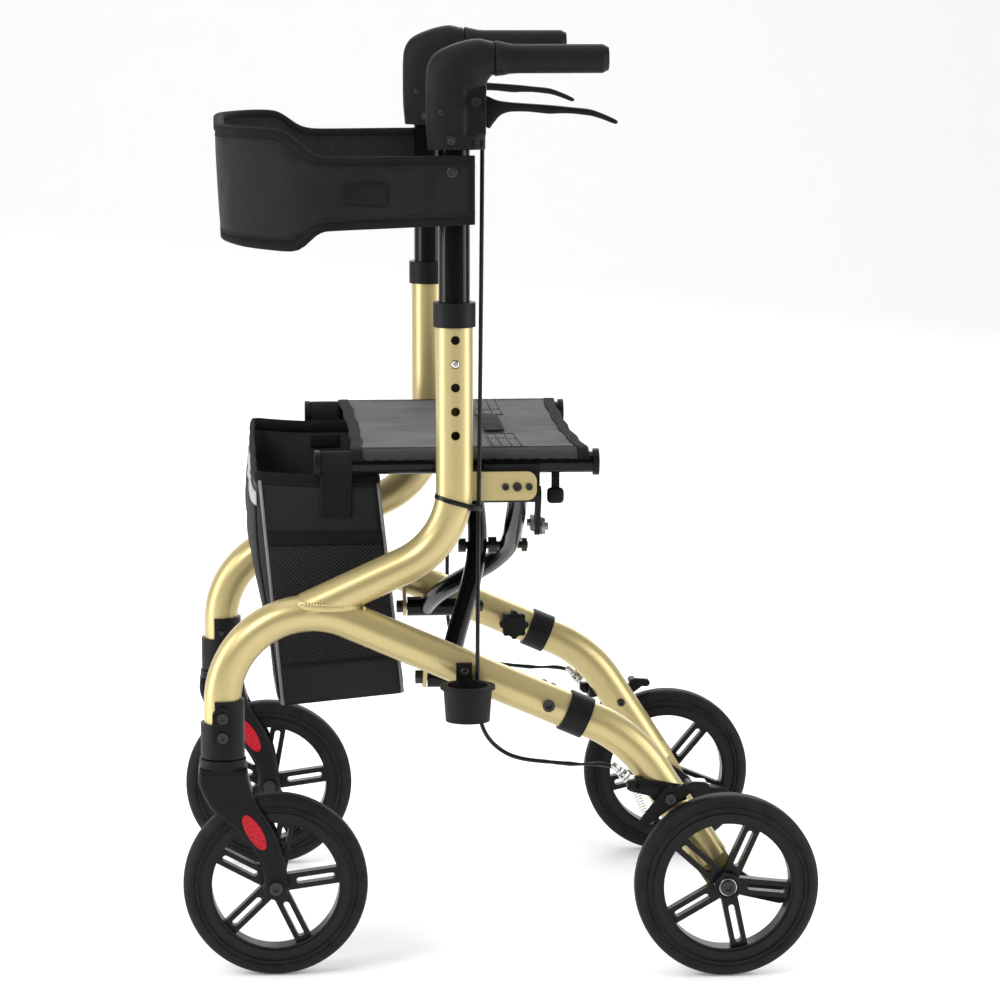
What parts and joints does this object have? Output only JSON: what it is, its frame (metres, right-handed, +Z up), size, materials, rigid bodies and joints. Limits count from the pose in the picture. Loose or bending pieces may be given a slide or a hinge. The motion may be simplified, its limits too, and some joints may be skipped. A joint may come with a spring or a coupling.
{
  "type": "rollator walker",
  "caption": "Folding wheeled walker with tubular side frames, fabric seat, padded backrest strap, front bag, hand brakes and a cane cup.",
  "frame": {"origin": "on the floor, at the middle of the overall length and of the overall width; the cane cup makes the left side wider, so the plane half way between the side frames is at y = 0.00975 m", "axes": "+X towards the user (rear), +Y the walker's right-hand side, +Z up"},
  "size_m": [0.653, 0.6255, 0.96],
  "materials": {
    "frame_paint": "satin champagne-gold metallic paint",
    "black_plastic": "fine matte texture",
    "soft_black": "soft-touch matte",
    "red_lens": "prismatic reflector",
    "dark_steel": "black oxide",
    "zinc": "zinc plated",
    "black_tube": "gloss black anodised",
    "cable_sheath": "smooth PVC",
    "tyre": "matte polyurethane",
    "fabric": "woven polyester and neoprene"
  },
  "bodies": {
    "frame_left": {"side_frame_left": "frame_paint", "rear_leg_left": "frame_paint", "tube_collars_left": "black_plastic", "caster_housing_left": "black_plastic", "frame_bolts_left": "dark_steel", "tip_pedal_left": "black_plastic", "brake_bracket_left": "black_plastic", "brake_cable_left": "cable_sheath", "rail_cradle_left": "black_plastic", "cane_cup": "black_plastic"},
    "frame_right": {"side_frame_right": "frame_paint", "rear_leg_right": "frame_paint", "tube_collars_right": "black_plastic", "caster_housing_right": "black_plastic", "frame_bolts_right": "dark_steel", "tip_pedal_right": "black_plastic", "brake_bracket_right": "black_plastic", "brake_cable_right": "cable_sheath", "rail_cradle_right": "black_plastic"},
    "cross_a": {"cross_a": "black_tube", "cross_pivot": "dark_steel", "rail_caps_right": "black_plastic"},
    "cross_b": {"cross_b": "black_tube", "rail_caps_left": "black_plastic"},
    "link_left": {"link_left": "zinc"},
    "link_right": {"link_right": "zinc"},
    "seat_left": {"seat_left": "fabric"},
    "seat_right": {"seat_right": "fabric"},
    "bag": {"bag": "fabric"},
    "handle_left": {"height_tube_left": "black_tube", "handle_housing_left": "soft_black", "grip_left": "soft_black", "handle_screws_left": "dark_steel", "backrest": "fabric"},
    "lever_left": {"brake_lever_left": "black_plastic"},
    "button_left": {"snap_button_left": "zinc"},
    "brake_arm_left": {"brake_arm_left": "zinc"},
    "knob_left": {"star_knob_left": "black_plastic"},
    "fork_left": {"caster_fork_left": "black_plastic", "fork_reflectors_left": "red_lens", "front_axle_left": "dark_steel"},
    "front_wheel_left": {"front_wheel_left": "black_plastic", "front_tyre_left": "tyre"},
    "rear_wheel_left": {"rear_wheel_left": "black_plastic", "rear_tyre_left": "tyre"},
    "handle_right": {"height_tube_right": "black_tube", "handle_housing_right": "soft_black", "grip_right": "soft_black", "handle_screws_right": "dark_steel"},
    "lever_right": {"brake_lever_right": "black_plastic"},
    "button_right": {"snap_button_right": "zinc"},
    "brake_arm_right": {"brake_arm_right": "zinc"},
    "knob_right": {"star_knob_right": "black_plastic"},
    "fork_right": {"caster_fork_right": "black_plastic", "fork_reflectors_right": "red_lens", "front_axle_right": "dark_steel"},
    "front_wheel_right": {"front_wheel_right": "black_plastic", "front_tyre_right": "tyre"},
    "rear_wheel_right": {"rear_wheel_right": "black_plastic", "rear_tyre_right": "tyre"}
  },
  "joints": [
    {"name": "fold", "type": "hinge", "parent": "frame_left", "child": "cross_a", "pos_m": [-0.036, -0.20325, 0.303], "axis": [1, 0, 0], "range_deg": [0, 52], "deforming": ["bag", "backrest"]},
    {"name": "scissor", "type": "hinge", "parent": "cross_a", "child": "cross_b", "pos_m": [0.01, 0.00975, 0.4065], "axis": [1, 0, 0], "range_deg": [-104.5, 0]},
    {"name": "fold_right", "type": "hinge", "parent": "cross_b", "child": "frame_right", "pos_m": [-0.036, 0.22275, 0.303], "axis": [1, 0, 0], "range_deg": [0, 52.5]},
    {"name": "seat_fold_left", "type": "hinge", "parent": "cross_b", "child": "seat_left", "pos_m": [-0.03, -0.20225, 0.526], "axis": [1, 0, 0], "range_deg": [0, 135.7]},
    {"name": "seat_fold_right", "type": "hinge", "parent": "cross_a", "child": "seat_right", "pos_m": [-0.03, 0.22175, 0.526], "axis": [1, 0, 0], "range_deg": [-135.7, 0]},
    {"name": "bag_hang", "type": "hinge", "parent": "cross_b", "child": "bag", "pos_m": [-0.17, -0.20225, 0.526], "axis": [1, 0, 0], "range_deg": [0, 52.5]},
    {"name": "link_swing_left", "type": "hinge", "parent": "frame_left", "child": "link_left", "pos_m": [0.048, -0.19525, 0.458], "axis": [1, 0, 0], "range_deg": [0, 88.9]},
    {"name": "link_swing_right", "type": "hinge", "parent": "frame_right", "child": "link_right", "pos_m": [-0.025, 0.21475, 0.458], "axis": [1, 0, 0], "range_deg": [-88.9, 0]},
    {"name": "height_left", "type": "slide", "parent": "frame_left", "child": "handle_left", "axis": [0, 0, 1], "range_m": [-0.0729, 0.0244], "deforming": ["brake_cable_left", "snap_button_left"]},
    {"name": "button_left", "type": "slide", "parent": "handle_left", "child": "button_left", "axis": [0, 1, 0], "range_m": [0, 0.005]},
    {"name": "lever_left", "type": "hinge", "parent": "handle_left", "child": "lever_left", "pos_m": [-0.0249, -0.23425, 0.8978], "axis": [0, -1, 0], "range_deg": [0, 12]},
    {"name": "brake_left", "type": "hinge", "parent": "frame_left", "child": "brake_arm_left", "pos_m": [0.1739, -0.26255, 0.1835], "axis": [0, 1, 0], "range_deg": [0, 11.8]},
    {"name": "knob_left", "type": "hinge", "parent": "frame_left", "child": "knob_left", "pos_m": [0.049, -0.20525, 0.281], "axis": [0, 1, 0], "continuous": true},
    {"name": "caster_left", "type": "hinge", "parent": "frame_left", "child": "fork_left", "pos_m": [-0.2845, -0.23425, 0.22], "axis": [0, 0, 1], "continuous": true},
    {"name": "front_roll_left", "type": "hinge", "parent": "fork_left", "child": "front_wheel_left", "pos_m": [-0.2315, -0.23425, 0.095], "axis": [0, 1, 0], "continuous": true},
    {"name": "rear_roll_left", "type": "hinge", "parent": "frame_left", "child": "rear_wheel_left", "pos_m": [0.2315, -0.27125, 0.095], "axis": [0, 1, 0], "continuous": true},
    {"name": "height_right", "type": "slide", "parent": "frame_right", "child": "handle_right", "axis": [0, 0, 1], "range_m": [-0.0732, 0.0247], "deforming": ["brake_cable_right", "snap_button_right"]},
    {"name": "button_right", "type": "slide", "parent": "handle_right", "child": "button_right", "axis": [0, -1, 0], "range_m": [0, 0.005]},
    {"name": "lever_right", "type": "hinge", "parent": "handle_right", "child": "lever_right", "pos_m": [-0.0249, 0.25375, 0.8978], "axis": [0, -1, 0], "range_deg": [0, 12]},
    {"name": "brake_right", "type": "hinge", "parent": "frame_right", "child": "brake_arm_right", "pos_m": [0.1739, 0.28205, 0.1835], "axis": [0, 1, 0], "range_deg": [0, 11.8]},
    {"name": "knob_right", "type": "hinge", "parent": "frame_right", "child": "knob_right", "pos_m": [0.049, 0.22475, 0.281], "axis": [0, 1, 0], "continuous": true},
    {"name": "caster_right", "type": "hinge", "parent": "frame_right", "child": "fork_right", "pos_m": [-0.2845, 0.25375, 0.22], "axis": [0, 0, 1], "continuous": true},
    {"name": "front_roll_right", "type": "hinge", "parent": "fork_right", "child": "front_wheel_right", "pos_m": [-0.2315, 0.25375, 0.095], "axis": [0, 1, 0], "continuous": true},
    {"name": "rear_roll_right", "type": "hinge", "parent": "frame_right", "child": "rear_wheel_right", "pos_m": [0.2315, 0.29075, 0.095], "axis": [0, 1, 0], "continuous": true}
  ],
  "couplings": [
    {"joint": "scissor", "follows": "fold", "ratio": -2},
    {"joint": "fold_right", "follows": "fold", "ratio": 1},
    {"joint": "seat_fold_left", "follows": "fold", "ratio": 2.6},
    {"joint": "seat_fold_right", "follows": "fold", "ratio": -2.6},
    {"joint": "bag_hang", "follows": "fold", "ratio": 1},
    {"joint": "link_swing_left", "follows": "fold", "ratio": 1.7},
    {"joint": "link_swing_right", "follows": "fold", "ratio": -1.7},
    {"joint": "brake_left", "follows": "lever_left", "ratio": 0.975},
    {"joint": "height_right", "follows": "height_left", "ratio": 1},
    {"joint": "brake_right", "follows": "lever_right", "ratio": 0.975}
  ]
}
